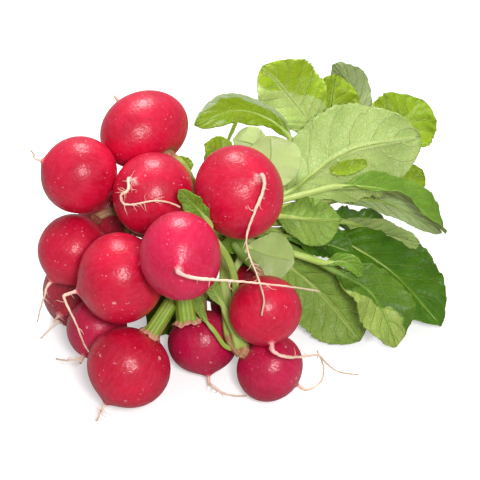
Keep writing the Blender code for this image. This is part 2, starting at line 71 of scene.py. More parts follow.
# Taproots: the points that each passes after it leaves the bulb.
ROOTS = {
    "01": [(-55, 85, 88), (-52, 88, 80), (-51, 89, 72)],
    "02": [(-89, 37, 94), (-90, 36, 97)],
    "03": [(-47, 12, 94), (-50, 11, 92), (-48, 9, 89), (-36, 10, 90), (-30, 9, 90), (-25, 7, 89)],
    "04": [(10, 7, 100), (6, 1, 91), (3, -3, 83), (3, -7, 78), (8, -16, 68), (10, -21, 62), (9, -24, 56)],
    "05": [(-20, -36, 88), (-14, -36, 87), (2, -31, 81), (21, -24, 72), (33, -20, 66)],
    "06": [(-75, -9, 53), (-70, -15, 43), (-67, -18, 34), (-65, -20, 31)],
    "07": [(-86, 10, 38), (-88, 8, 33), (-90, 4, 26)],
    "08": [(-82, 13, 18), (-86, 10, 16), (-90, 7, 13)],
    "09": [(-70, -9, 16), (-76, -7, 13), (-82, -4, 11)],
    "10": [(-60, -33, 9), (-62, -35, 4)],
    "11": [(-13, -13, 4), (-8, -16, 2), (-2, -18, 2), (3, -19, 3)],
    "12": [(19, -28, 36), (26, -23, 31), (34, -17, 26), (38, -13, 17), (44, -9, 8), (53, -7, 4)],
    "13": [(31, -16, 4), (36, -13, 6), (37, -10, 12), (34, -8, 20)],
    "14": [(-74, 74, 46), (-80, 80, 42)],
    "15": [(-43, 74, 10), (-45, 81, 5)],
    "16": [(19, 36, 8), (24, 38, 5)],
}

# Leaves: the bulb they grow from, their column and row in the tie (or the points passed, outside it), the
# neck, bend and tip of the blade; then its width, where its upper side faces at the neck and at the tip, how
# far its sides fold up in degrees, and the height of its waves.
LEAVES = {
    "veined_lobe": ("05", (1.5, 1), (17, 43.5, 54.5), (32, 45.6, 51), (46, 49.5, 47.5),
        25, (0.1, 0.5, -0.8), (0.2, 0.5, -0.8), 12, 1.2),
    "right_drooping": ("04", (1, 2), (46, 61, 58), (74, 66, 49), (97, 60, 31),
        22, (0, 0.1, 1), (0.2, 0.1, 1), 30, 1.2),
    "drooping_under": ("05", (0.5, 1), (43, 66, 46.5), (70, 72.5, 39), (96, 66, 26),
        11, (0, 0.6, -0.8), (0.2, 0.6, -0.8), 8, 1),
    "great_pale": ("04", (0, 2), (20, 59, 54), (50, 84.5, 60), (86, 96, 60.5),
        52, (0.2, 0.6, -0.8), (0.2, 0.6, -0.8), 10, 2.5),
    "top_twisted": ("02", (-1.5, 1), (36, 102, 56), (25, 118, 67), (11, 124, 82),
        38, (0.1, -0.6, 0.8), (-0.1, -0.6, 0.8), 15, 2),
    "top_bright": ("07", (-1, 0), (42, 107, 49), (45, 124, 59), (47, 134, 71),
        28, (0.2, -0.6, 0.8), (0.2, -0.6, 0.8), 15, 2),
    "top_curled": ("14", (-0.5, -1), (57, 121, 45), (57, 138, 57), (47, 142, 72),
        20, (0.3, 0.7, -0.6), (-0.3, 0.9, 0.3), 30, 1.5),
    "upper_right": ("06", (0, 0), (66, 106, 44), (80, 121, 50), (91, 132, 57),
        36, (0, -0.6, 0.8), (0, -0.6, 0.8), 12, 2),
    "right_sliver": ("09", (-1, -2), (71, 95, 31), (82, 100, 31), (91, 103, 32),
        20, (0, -0.6, 0.8), (0, -0.6, 0.8), 12, 1),
    "left_drooping": ("01", (-0.5, 1), (24, 97, 59), (2, 101, 72), (-21, 86, 75),
        19, (0, -0.2, 1), (0, -0.4, 0.9), 12, 1),
    "round_front": ("03", (-2, 2), (7, 61, 57), (14, 72, 65.5), (14, 80, 73),
        29, (0.2, 0.6, -0.8), (0.2, 0.6, -0.8), 10, 0.6),
    "round_back": ("03", (0.5, 3), (14, 81, 60.5), (6, 84, 65), (-3, 85, 67),
        18, (0, 0.6, -0.8), (0, 0.6, -0.8), 10, 0.6),
    "pale_under": ("16", [(-11, 17, 32), (-2, 22, 41)], (3.5, 29, 48), (11, 29, 44.5), (24.5, 29, 40),
        23, (0.1, 0.6, -0.8), (0.1, 0.6, -0.8), 8, 0.6),
    "dark_low": ("10", (0.5, -1), (19, 47, 40), (35, 49, 35), (52, 46, 31),
        21, (0, -0.3, 0.9), (0, -0.3, 0.9), 20, 1.5),
    "small_bright": ("13", (1.5, -1), (38, 31, 37.5), (48, 32.4, 36.6), (56, 28.5, 31.5),
        9, (0, -0.4, 0.9), (0, -0.4, 0.9), 30, 0.6),
    "mid_right": ("06", (1, 0), (50, 67, 32), (67, 68, 24), (86, 66, 19),
        22, (0.1, 0.3, -0.9), (0.1, 0.3, -0.9), 20, 1),
    "long_dark": ("16", (0, -2), (41, 59, 30.5), (70, 49, 17.5), (93, 23, 6),
        36, (0.2, -0.2, 1), (0.2, -0.2, 1), 16, 2),
    "edge_grey": ("15", (-0.5, -3), (72, 72, 19), (84, 63, 12), (92, 47, 4),
        16, (0.2, -0.2, 1), (0.2, -0.2, 1), 15, 1.5),
    "lower_pale": ("11", (1, -2), (18, 39, 33), (38, 31, 18), (55, 15, 4),
        36, (0, 0.4, -0.9), (0, 0.4, -0.9), 8, 1.5),
    "bottom_folded": ("12", (2, 0), (44, 32, 31), (60, 23, 25), (71, 7, 8),
        31, (0.3, -0.4, 0.9), (0.2, -0.2, 0.9), 18, 1.8),
    "crinkled": ("11", (0.6, -3.1), (47, 43, 16), (64, 38, 11), (76, 26, 6),
        18, (0.1, -0.3, 0.9), (0.1, -0.3, 0.9), 15, 2),
    "left_small": ("01", (-0.5, 3), (-4, 65, 64), (-10, 69, 71), (-16, 69, 76),
        16, (0, -0.5, 0.8), (0, -0.5, 0.8), 15, 0.5),
    "left_yellow": ("02", [], (-30, 56, 69), (-27, 61, 70), (-25, 66, 71),
        12, (0, -0.5, 0.8), (0, -0.5, 0.8), 15, 0.5),
    "stub_broad": ("13", [(-3, -7, 35)], (-7, -2, 41), (-11, 3, 45), (-14, 9, 49),
        7, (0, -0.8, 0.6), (0, -0.8, 0.6), 10, 0.2),
    "stub_thin": ("13", [], (-14, -7, 35), (-18.5, 1, 39.5), (-21, 9, 43),
        5, (0, -0.8, 0.6), (0, -0.8, 0.6), 10, 0.2),
    "stub_left": ("11", [], (-23, 20, 30), (-27, 21, 33), (-31, 22, 36),
        7, (0, -0.8, 0.6), (0, -0.8, 0.6), 10, 0.2),
    "stub_low": ("10", [], (-34, -4, 36), (-29, 4, 40), (-25, 11, 43),
        7, (0, -0.8, 0.6), (0, -0.8, 0.6), 10, 0.2),
    "torn_strap": ("13", [(-1, 2, 36), (-0.5, 6, 47), (-4.5, 7, 60), (-7.5, 7, 71)],
        (-13, 7, 80.5), (-20, 8.5, 90), (-25.5, 9.5, 96),
        9, (0.3, -0.9, 0.3), (-0.4, -0.6, 0.7), 20, 0.8),
    "back_low": ("09", (-1.5, -1), (20, 100, 30), (30, 118, 24), (38, 130, 14),
        26, (0.3, 0.6, 0.7), (0.3, 0.6, 0.7), 15, 2),
    "back_left": ("08", (-2, 0), (0, 92, 36), (-6, 108, 34), (-14, 122, 30),
        22, (-0.2, 0.6, 0.7), (-0.2, 0.6, 0.7), 15, 2),
    "under_middle": ("15", (-2, -2), (40, 78, 22), (58, 86, 14), (76, 92, 7),
        24, (0.1, 0, 1), (0.1, 0, 1), 15, 2),
}

# Leaves' looks: the finish above and below, teeth along each side, height of the puckers between the side
# veins, and how uneven the margin is.
LEAF_LOOKS = {
    "veined_lobe": ("fresh", "light", 22, 0.8, 0.5),
    "right_drooping": ("fresh", "grey", 14, 0.4, 0.3),
    "drooping_under": ("dark", "grey", 14, 0.4, 0.2),
    "great_pale": ("fresh", "pale", 26, 0.7, 0.8),
    "top_twisted": ("turned", "pale", 24, 0.8, 0.6),
    "top_bright": ("bright", "light", 16, 0.8, 0.3),
    "top_curled": ("dark", "grey", 12, 0.5, 0.2),
    "upper_right": ("bright", "light", 12, 0.9, 0.5),
    "right_sliver": ("bright", "light", 10, 0.5, 0.4),
    "left_drooping": ("rimmed", "grey", 8, 0.6, 0.2),
    "round_front": ("fresh", "smooth", 1, 0, 0),
    "round_back": ("fresh", "smooth", 1, 0, 0),
    "pale_under": ("fresh", "dim", 1, 0, 0),
    "dark_low": ("dark", "light", 10, 0.6, 0.4),
    "small_bright": ("fresh", "light", 9, 0.5, 0.3),
    "mid_right": ("fresh", "pale", 20, 0.5, 0.3),
    "long_dark": ("dark", "light", 14, 0.9, 0.3),
    "edge_grey": ("dark", "grey", 12, 0.6, 0.5),
    "lower_pale": ("fresh", "light", 14, 0.6, 0.4),
    "bottom_folded": ("folded", "light", 12, 0.5, 0.2),
    "crinkled": ("dark", "light", 12, 1.0, 0.5),
    "left_small": ("lime", "light", 6, 0.3, 0.2),
    "left_yellow": ("lime", "light", 6, 0.3, 0.2),
    "stub_broad": ("light", "light", 2, 0.1, 0.1),
    "stub_thin": ("light", "light", 2, 0.1, 0.1),
    "stub_left": ("light", "light", 2, 0.1, 0.1),
    "stub_low": ("light", "light", 2, 0.1, 0.1),
    "torn_strap": ("fresh", "light", 8, 0.3, 0.5),
    "back_low": ("fresh", "light", 14, 0.7, 0.4),
    "back_left": ("fresh", "light", 14, 0.7, 0.4),
    "under_middle": ("dark", "light", 14, 0.7, 0.4),
}

# Shared with the model's plain solids.
TAIL_LENGTH = 1.6
CROWN_RADIUS = 5.0
CROWN_SINK = 0.8
CROWN_HEIGHT = 0.97
TOP_HEAVY = 1.35
LUMP = 0.022
LUMPS = 5
LUMP_WAVES = 2
GAP = 0.3
STALK_RADIUS = 1.3
STALK_SPACING = 3.5
STALK_STEPS = 12
RIB_TIP_RADIUS = 0.35
COLLAR_HEIGHT = 2.2
STALK_SINK = 1.2
CROWN_LEAD = 4.0
CROWN_SPREAD = 0.13
LEAD_SPREAD = 0.22
LOOSE_SPREAD = 1.2
TIE_LEAD = (-7, -3, 3, 7)
AFTER_TIE_CROWDING = 1.35
STIFFNESS = 0.2
WAVES_ALONG = 2.2
CURVE_STEPS = 24
EASING_POINTS = 36
EASING_ROUNDS = 140
FIXED_POINTS = 3
TIE_CENTRE = Vector((-8, 41, 51.5))
TIE_AXIS = Vector((0.76, 0.64, -0.08)).normalized()
BAND_WIDTH = 4.5
BAND_THICKNESS = 1.4

# How far each way from the middle of the tie the stalks are held straight.
HELD = BAND_WIDTH / 2 + 1

# Finer forms of the bulbs and the taproots. Side roots grow on a taproot after its first bare rings.
SKIN_SIDES = 72
SKIN_RINGS = 56
TAIL_SPREAD = 2.2
ROOT_LEAD = (-1.5, TAIL_LENGTH + GAP, TAIL_LENGTH + 3.5)
ROOT_FOOT = 1.05
THREAD_RADIUS = 0.36
ROOT_SIDES = 10
ROOT_RING_SPACING = 0.8
FEWEST_ROOT_RINGS = 16
BARE_ROOT_RINGS = 4
ROOT_KINK = 0.09
SIDE_ROOTS = {"03": 26, "04": 20, "05": 12, "12": 12, "02": 2}
USUAL_SIDE_ROOTS = 5
ROOTED_SHARE = 0.8
ROOTLET_LEAN = (0.2, 0.9)
ROOTLET_STEPS = 7
ROOTLET_STEP = (0.4, 0.9)
ROOTLET_WANDER = 0.5
ROOTLET_DROOP = Vector((0, 0, -0.12))
ROOTLET_RADIUS = 0.22
THIN_ROOTLET = 0.13
ROOTLET_TAPER = 0.75
ROOTLET_RINGS = 14
ROOTLET_SIDES = 5

# Finer forms of the stalks and the blades. BROAD_FEET are the bulbs whose stalks are broad at the foot. The
# midrib fades sooner on a leaf that shows no veins.
STALK_THICKNESS = 1.4
STALK_FLARE = 1.5
SLIM_FLARE = 0.3
BROAD_FEET = ("10", "11", "13")
FOOT_FADE = 2.3
STALK_OVAL = 0.18
GROOVE_DEPTH = 0.3
STALK_ROWS = 44
STALK_SIDES = 12
MIDRIB_SHORT = 5
MIDRIB_FADE = 1.6
VEINLESS = ("smooth", "dim")
VEINLESS_FADE = 5
STUBS = ("stub_broad", "stub_thin")
STUB_EASING = 140
THIN_STUB = "stub_thin"
THIN_STUB_GIRTH = 0.62
BLADE_COLUMNS = 28
BLADE_ROWS = 88
BLADE_THICKNESS = 0.45
NARROWEST = 0.4
NECK_SHARE = 0.02
BROAD_TIP = 1.3
ROUND_SIDES = 0.62
TOOTH_DEPTH = 0.05
FRILLS = 9
FRILL_HEIGHT = 0.25
PUCKER_ROUNDING = 0.6
RIB_LIFT = 0.3
SIDE_VEINS = 7
VEIN_LEAN = 0.26
VEIN_BEND = 1.1
VEIN_STAGGER = 0.4

# Finer forms of the crowns and the band.
CROWN_SUNK = 1.2
CROWN_STEPS = 8
CROWN_RIBS = 7
CROWN_SIDES = 42
BAND_TURNS = 3
BAND_RINGS = 300
BAND_SIDES = 12
CORD_RADIUS = 0.62

# Old leaf feet round a crown: where each starts, its way, its height and its radius.
SHEATHS = {
    "10": ((-39, -12.5, 33.5), (0.54, 0.54, 0.64), 17, 3.7),
    "11": ((-23, -8, 37.5), (-0.13, 0.48, 0.87), 11, 4.4),
}

# The side that an old leaf foot wraps, how far it wraps each way in radians, and its thickness.
WRAPPED_SIDE = Vector((0, -0.77, 0.64))
WRAP = 1.7
SHEATH_THICKNESS = 0.3
SHEATH_COLUMNS = 40
SHEATH_ROWS = 16

# Loose bits of leaf: the bulb they belong to, the points along them, their width, upper side and finish.
SCRAPS = {
    "chip": ("04", [(42.5, 71.7, 58.3), (50.5, 73, 59.7), (59, 74.4, 61.5)], 7, (0, -0.6, 0.8), "bright"),
    "strand": ("03", [(-6.5, 74, 72), (-3.5, 78.5, 77), (-1, 81.5, 81), (2.5, 82.5, 82)],
        1.5, (0, -0.6, 0.8), "lime"),
    "crumpled": ("12", [(-8, 26, 52.5), (-3, 27, 51.5), (3, 28.5, 50.5)], 7.5, (0, -0.77, 0.64), "fresh"),
    # low and inner are dark leaf sheets that also fill shaded gaps in the bunch: partly leaf, partly painted
    # shade.
    "low": ("10", [(-43, 21, 12), (-29, 22.5, 14), (-16, 25, 17)], 20, (0, -0.77, 0.64), "dark"),
    "inner": ("15", [(-10.5, 42, 30.5), (10.5, 51, 26.5), (33.5, 60, 21)], 24, (0, -0.77, 0.64), "dark"),
}
SCRAP_COLUMNS = 14
SCRAP_ROWS = 36
SCRAP_CURL = 0.12

# Points of a tube's seam that lie this close are joined, and a corner of a thick sheet that stands further
# than a spike from the middle of its neighbours goes back there.
WELD = 0.0005
SPIKE = 1.4

# The bulbs whose skin isn't crimson, the radishes whose stalks are darkened with painted shade, and the
# crowns that aren't brown.
# magenta and dull go on the bulbs low in the pile: partly their own tone, partly painted shade.
SKINS = {"05": "pink", "08": "dull", "14": "dull", "09": "magenta", "11": "magenta", "13": "magenta"}
SHADED_STALKS = ("07", "12")
CROWNS = {"03": "crown_green", "07": "crown_dull"}

# Radish skins: the base, the deep and the blush colour. Magenta and dull are darker for the bulbs low in the
# pile: partly their own tone, partly painted shade.
SKIN_TONES = {
    "crimson": ((0.63, 0.001, 0.032), (0.47, 0.001, 0.022), (0.76, 0.045, 0.15)),
    "magenta": ((0.55, 0.004, 0.06), (0.41, 0.002, 0.035), (0.66, 0.05, 0.14)),
    "pink": ((0.63, 0.004, 0.055), (0.50, 0.003, 0.038), (0.76, 0.06, 0.17)),
    "dull": ((0.42, 0.012, 0.035), (0.28, 0.01, 0.02), (0.55, 0.08, 0.10)),
}

# Leaf faces: the base, the deep and the vein colour, how strongly the veins show, and the roughness. Three
# have another colour past a fold: that colour, the fold's lean to the side, its slope along and its start.
LEAF_TONES = {
    "bright": ((0.29, 0.43, 0.012), (0.20, 0.33, 0.008), (0.40, 0.54, 0.07), 0.5, 0.4),
    "lime": ((0.30, 0.44, 0.016), (0.20, 0.33, 0.012), (0.42, 0.56, 0.09), 0.45, 0.36),
    "fresh": ((0.17, 0.32, 0.025), (0.11, 0.23, 0.018), (0.30, 0.45, 0.08), 0.5, 0.38),
    "dark": ((0.07, 0.185, 0.003), (0.030, 0.10, 0.002), (0.15, 0.29, 0.015), 0.4, 0.34),
    "pale": ((0.39, 0.50, 0.155), (0.29, 0.41, 0.10), (0.50, 0.60, 0.21), 0.6, 0.46),
    "light": ((0.25, 0.38, 0.06), (0.18, 0.30, 0.04), (0.37, 0.50, 0.11), 0.6, 0.44),
    "turned": ((0.50, 0.64, 0.20), (0.40, 0.55, 0.13), (0.58, 0.69, 0.24), 0.5, 0.4,
        ((0.30, 0.46, 0.012), 1.0, 2.4, 1.45)),
    "folded": ((0.09, 0.19, 0.009), (0.05, 0.13, 0.005), (0.19, 0.31, 0.03), 0.5, 0.4,
        ((0.30, 0.40, 0.08), 1.0, 2.4, 1.3)),
    "rimmed": ((0.19, 0.29, 0.003), (0.17, 0.28, 0.004), (0.32, 0.44, 0.03), 0.4, 0.34,
        ((0.30, 0.38, 0.20), 1.0, 0.0, 0.74)),
    "grey": ((0.36, 0.46, 0.19), (0.28, 0.38, 0.13), (0.44, 0.54, 0.24), 0.5, 0.5),
    "smooth": ((0.50, 0.60, 0.25), (0.43, 0.54, 0.19), (0.54, 0.63, 0.28), 0.0, 0.4),
    # This is the smooth face made darker: painted shade.
    "dim": ((0.34, 0.42, 0.15), (0.27, 0.36, 0.10), (0.38, 0.46, 0.17), 0.0, 0.4),
}

# Stalks: the base and the pale colour, and the colour by the foot. stalk_shaded is the stalk made darker:
# painted shade.
STALK_TONES = {
    "stalk": ((0.31, 0.45, 0.06), (0.47, 0.58, 0.17), (0.36, 0.47, 0.09)),
    "stalk_shaded": ((0.12, 0.23, 0.02), (0.20, 0.33, 0.05), (0.16, 0.27, 0.04)),
}

# Mottled finishes: two colours, the roughness, the depth of the relief and the scale of the mottle.
MOTTLED_TONES = {
    "crown": ((0.50, 0.24, 0.14), (0.36, 0.30, 0.10), 0.6, 0.3, 300.0),
    "crown_green": ((0.26, 0.37, 0.05), (0.36, 0.42, 0.10), 0.6, 0.3, 300.0),
    "crown_dull": ((0.26, 0.05, 0.03), (0.16, 0.06, 0.02), 0.7, 0.3, 300.0),
    "band": ((0.60, 0.40, 0.17), (0.52, 0.33, 0.13), 0.5, 0.03, 200.0),
}

# Colours of the small marks.
FRECKLE = (0.86, 0.30, 0.34)
SCAR = (0.84, 0.38, 0.37)
PIT = (0.22, 0.02, 0.02)
PALE_TAIL = (0.82, 0.32, 0.32)
CROWN_RIM = (0.30, 0.10, 0.05)
TORN_FOOT = (0.38, 0.17, 0.09)
DRY_RIM = (0.56, 0.27, 0.18)
ROOT_BLUSH = (0.84, 0.34, 0.38)
ROOT_TIP = (0.60, 0.47, 0.31)

# The stage, in metres: the strength of the surround, and each light's place, aim, size and power. The floor
# has one colour for the eye and another for the light that it throws back.
SURROUND = 0.43
LIGHTS = {
    "overhead": ((-0.06, 0.50, 0.80), (0, 0, 0.04), 0.32, 7.0),
    "front": ((0.10, -0.56, 0.56), (0, 0, 0.05), 0.14, 4.2),
}
FLOOR_REACH = 4
FLOOR_SEEN = (0.86, 0.86, 0.86)
FLOOR_THROWN = (0.40, 0.40, 0.40)
FLOOR_GLOW = 0.4

# The camera: what it looks at in the layout, how far it looks down in degrees, its distance in metres and its
# lens in millimetres.
CAMERA_TARGET = (0, 0, 77)
CAMERA_HEIGHT_ANGLE = 40
CAMERA_DISTANCE = 0.62
CAMERA_LENS = 110.7

# The finishes by name, filled in by finishes().
FINISH = {}


# Shared places


def standing(direction, roll=0.0):
    """A turn whose Z is the direction and whose X is as upright as it can be, then rolled, in degrees."""
    z = Vector(direction).normalized()
    across = z.cross(Vector((0, 0, 1))).normalized()
    turn = Matrix((across.cross(z), across, z)).transposed()
    return turn @ Matrix.Rotation(math.radians(roll), 3, "Z")


def bulb_turn(key):
    """The turn from upright to a bulb's own way, in which its root runs along Z."""
    _, root_way, _, _, _, roll = BULBS[key]
    return standing(root_way, roll)


def bulb_point(key, height):
    """The point on a bulb's axis at a height above its centre, towards the root."""
    return Vector(BULBS[key][0]) + bulb_turn(key) @ Vector((0, 0, height))


def crown_height(key):
    """How far behind a bulb's centre its crown is."""
    return BULBS[key][4] / 2 * CROWN_HEIGHT


def wander(draw, most):
    """A random way with up to so much along each axis."""
    return Vector([draw.uniform(-most, most) for _ in range(3)])


def lumps(key):
    """A smooth uneven swelling over the directions of a bulb, the same for each run."""
    draw = random.Random("bulb " + key)
    waves = [(wander(draw, LUMP_WAVES), draw.uniform(0, math.tau)) for _ in range(LUMPS)]
    return lambda way: 1 + LUMP * sum(math.sin(wave.dot(way) + phase) for wave, phase in waves) / 2


def smooth_path(knots, steps, first=0, last=None, crowding=1.0):
    """Points along a smooth curve through the knots, from knot to knot: evenly spaced, or crowded early."""
    end = len(knots) - 1
    last = end if last is None else last
    ways = [(knots[min(i + 1, end)] - knots[max(i - 1, 0)]).normalized() for i in range(len(knots))]
    dense = [knots[first]]
    for i in range(first, last):
        reach = (knots[i + 1] - knots[i]).length / 3
        leave, arrive = knots[i] + ways[i] * reach, knots[i + 1] - ways[i + 1] * reach
        dense += interpolate_bezier(knots[i], leave, arrive, knots[i + 1], CURVE_STEPS)[1:]
    lengths = [0.0]
    for start, stop in zip(dense, dense[1:]):
        lengths.append(lengths[-1] + (stop - start).length)
    points, i = [], 0
    for step in range(steps + 1):
        wanted = lengths[-1] * (step / steps) ** crowding
        while i < len(dense) - 2 and lengths[i + 1] < wanted:
            i += 1
        share = (wanted - lengths[i]) / (lengths[i + 1] - lengths[i])
        points.append(dense[i].lerp(dense[i + 1], share))
    return points


def in_tie(name):
    """Whether a leaf's stalk is held in the tie."""
    return isinstance(LEAVES[name][1], tuple)


def tie_place(name):
    """The middle of a stalk inside the tie, where the stalks are packed in rows."""
    column, row = LEAVES[name][1]
    side = TIE_AXIS.cross(Vector((0, 0, 1))).normalized()
    over = side.cross(TIE_AXIS)
    return TIE_CENTRE + (side * column + over * (row * math.sqrt(3) / 2)) * STALK_SPACING


def stalk_route(name):
    """Points along a stalk, from the collar through the tie to the neck of the blade."""
    plant, way_in, neck, bend = LEAVES[name][:4]
    inward = bulb_turn(plant) @ Vector((0, 0, -1))
    crown = bulb_point(plant, -crown_height(plant) - GAP - STALK_SINK)
    lead = crown + inward * CROWN_LEAD
    if in_tie(name):
        slot = tie_place(name)
        lead += (slot - TIE_CENTRE) * LEAD_SPREAD
        crown += (slot - TIE_CENTRE) * CROWN_SPREAD
        passed = [slot + TIE_AXIS * ahead for ahead in TIE_LEAD]
    else:
        passed = [Vector(point) for point in way_in]
        aside = ([*passed, Vector(neck)][0] - lead).normalized()
        crown += aside * LOOSE_SPREAD
        lead += aside * LOOSE_SPREAD * 2
    knots = [crown, lead, *passed, Vector(neck), Vector(bend)]
    return smooth_path(knots, EASING_POINTS - 1, last=len(knots) - 2)


def ease_apart(routes):
    """Bends the stalks clear of each other and of the bulbs. Their ends, and all in the tie, stay put."""
    points = np.array([[tuple(point) for point in route] for route in routes])
    ahead = (points - np.array(TIE_CENTRE)) @ np.array(TIE_AXIS)
    free = np.abs(ahead) > HELD
    free[:, :FIXED_POINTS] = free[:, -1:] = False
    strand = np.repeat(np.arange(len(routes)), EASING_POINTS)
    apart = 2 * STALK_RADIUS + 4 * GAP
    for _ in range(EASING_ROUNDS):
        flat = points.reshape(-1, 3)
        gaps = flat[:, None] - flat[None]
        distance = np.linalg.norm(gaps, axis=2) + 1e-9
        push = np.where(strand[:, None] == strand[None], 0, np.clip(apart - distance, 0, None)) / 2
        move = (gaps / distance[..., None] * push[..., None]).sum(axis=1).reshape(points.shape)
        for row in BULBS.values():
            away = points - np.array(row[0])
            reach = np.linalg.norm(away, axis=2)
            short = np.clip(row[2] / 2 * (1 + 2 * LUMP) + STALK_RADIUS + 3 * GAP - reach, 0, None)
            move += away / reach[..., None] * short[..., None]
        straight = np.zeros_like(points)
        straight[:, 1:-1] = (points[:, :-2] + points[:, 2:]) / 2 - points[:, 1:-1]
        points += np.where(free[..., None], move + STIFFNESS * straight, 0)
    return [[Vector(point) for point in route] for route in points]


def leaf_routes():
    """The eased route of every stalk, by leaf."""
    return dict(zip(LEAVES, ease_apart([stalk_route(name) for name in LEAVES])))


def stalk_rings(name, route):
    """The middles of a stalk's rings: even along it on each side of the tie, with none inside the tie."""
    if not in_tie(name):
        return smooth_path(route, STALK_STEPS)
    ahead = [(point - TIE_CENTRE).dot(TIE_AXIS) for point in route]
    leave = max(i for i, reach in enumerate(ahead) if reach < HELD) + 1
    enter = max(i for i, reach in enumerate(ahead[:leave]) if reach < -HELD)
    before = smooth_path([*route[: enter + 1], tie_place(name) - TIE_AXIS * HELD], STALK_STEPS // 2)
    steps = STALK_STEPS - 1 - STALK_STEPS // 2
    onward = [tie_place(name) + TIE_AXIS * HELD, *route[leave:]]
    after = smooth_path(onward, steps, crowding=AFTER_TIE_CROWDING)
    return before + after


# Shaped pieces


def shaped_sheet(bm, across, along, place):
    """A grid of faces bent to a shape.

    place gives the point for s, from -1 to 1 across, and t, from 0 to 1 along."""
    bm.loops.layers.uv.verify()
    made = bmesh.ops.create_grid(bm, x_segments=across, y_segments=along, size=1, calc_uvs=True)["verts"]
    for vert in made:
        vert.co = place(vert.co.x, (vert.co.y + 1) / 2)
    return made


def thicken(bm, made, thickness, upper, lower):
    """Give a sheet its thickness and a material on either side, and pull back any spike at a sharp bend."""
    bm.normal_update()
    faces = list({face for vert in made for face in vert.link_faces})
    edges = list({edge for vert in made for edge in vert.link_edges})
    for face in faces:
        face.material_index = upper
    shell = bmesh.ops.solidify(bm, geom=made + edges + faces, thickness=thickness)["geom"]
    for part in shell:
        if isinstance(part, bmesh.types.BMFace):
            part.material_index = lower
    for vert in [part for part in shell if isinstance(part, bmesh.types.BMVert)]:
        around = [edge.other_vert(vert).co for edge in vert.link_edges]
        middle = sum(around, Vector()) / len(around)
        if (vert.co - middle).length > SPIKE:
            vert.co = middle


def frame_at(path, i, face):
    """The way, the side and the upper side at a point of a path, with the upper side nearest to a face."""
    way = (path[min(i + 1, len(path) - 1)] - path[max(i - 1, 0)]).normalized()
    up = (face - way * face.dot(way)).normalized()
    return way, way.cross(up), up


def carried_frames(path, up):
    """A frame at each point of a path, turned as little as they can be."""
    frames = []
    for i in range(len(path)):
        frames.append(frame_at(path, i, up))
        up = frames[-1][2]
    return frames


def tube(bm, path, frames, radius, sides, material):
    """A closed tube along a path.

    radius gives its radius for a share of the length and an angle from its side."""
    rings = len(path) - 1

    def place(s, t):
        i = round(t * rings)
        angle = math.pi * s
        _, side, up = frames[i]
        return path[i] + (side * math.cos(angle) + up * math.sin(angle)) * radius(t, angle)

    made = shaped_sheet(bm, sides, rings, place)
    for face in {face for vert in made for face in vert.link_faces}:
        face.material_index = material
    bmesh.ops.remove_doubles(bm, verts=made, dist=WELD)
    rims = [edge for vert in made if vert.is_valid for edge in vert.link_edges if edge.is_boundary]
    for face in bmesh.ops.holes_fill(bm, edges=list(set(rims)), sides=0)["faces"]:
        face.material_index = material


def added(name, data):
    """A new object in the scene."""
    made = bpy.data.objects.new(name, data)
    bpy.context.scene.collection.objects.link(made)
    return made


def finished(bm, name, materials, slot, *nodes):
    """Makes the piece: smooth, in metres, and riding on the bunch in place of its plain solids."""
    bmesh.ops.recalc_face_normals(bm, faces=bm.faces)
    mesh = bpy.data.meshes.new(name)
    bm.to_mesh(mesh)
    bm.free()
    mesh.transform(Matrix.Scale(MM, 4) @ Matrix.Translation(LAYOUT_SHIFT))
    mesh.shade_smooth()
    for finish in materials:
        mesh.materials.append(finish)
    piece = added(name, mesh)
    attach(piece, "root")
    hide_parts(*nodes)


# Bulbs


def bulb(key, material):
    """A bulb: lumpy, dented round the crown and drawn out to the tail, flat only where it rests."""
    _, _, girth, oval, height, _ = BULBS[key]
    swelling = lumps(key)
    turn = bulb_turn(key)
    centre = Vector(BULBS[key][0])
    bm = bmesh.new()
    bmesh.ops.create_uvsphere(bm, u_segments=SKIN_SIDES, v_segments=SKIN_RINGS, radius=1)
    local = bm.verts.layers.float_vector.new("skin_place")
    for vert in bm.verts:
        way = vert.co.copy()
        around = math.atan2(way.y, way.x)
        lean = math.pi * (math.acos(max(-1, min(1, way.z))) / math.pi) ** TOP_HEAVY
        radius = math.sin(lean) * girth / 2
        z = math.cos(lean) * height / 2 + (TAIL_LENGTH + 1) * math.exp(-radius / TAIL_SPREAD)
        dent = crown_height(key) - CROWN_SINK * (1 - (radius / CROWN_RADIUS) ** 2)
        if lean > math.pi / 2 and radius < CROWN_RADIUS:
            z = max(z, -dent)
        side = radius * (1 + (swelling(way) - 1) * min(1, radius / CROWN_RADIUS))
        vert[local] = (math.sin(lean) * math.cos(around), math.sin(lean) * math.sin(around), math.cos(lean))
        vert.co = centre + turn @ Vector((side * math.cos(around), side * math.sin(around) * oval, z))
        vert.co.z = max(0, vert.co.z)
    finished(bm, "bulb_" + key, [material], "red_skin", "radish_" + key)


# Taproots


def root_radius(share, key):
    """Thick at the bulb and thin at the tip, with small swellings."""
    thin = THREAD_RADIUS + (ROOT_FOOT - THREAD_RADIUS) * (1 - share) ** 3
    long_swelling = 0.1 * math.sin(37 * share + int(key))
    short_swelling = 0.06 * math.sin(83 * share)
    return thin * (1 + long_swelling + short_swelling)


def rootlet(bm, draw, start, way):
    """One fine side root that curls away and down."""
    points = [start]
    aim = way.copy()
    for _ in range(ROOTLET_STEPS):
        aim = (aim + wander(draw, ROOTLET_WANDER) + ROOTLET_DROOP).normalized()
        point = points[-1] + aim * draw.uniform(*ROOTLET_STEP)
        point.z = max(point.z, ROOTLET_RADIUS)
        points.append(point)
    path = smooth_path(points, ROOTLET_RINGS)
    frames = carried_frames(path, Vector((0.3, 0.2, 1)))
    thick = draw.uniform(THIN_ROOTLET, ROOTLET_RADIUS)
    tube(bm, path, frames, lambda t, _: thick * (1 - ROOTLET_TAPER * t), ROOTLET_SIDES, 0)


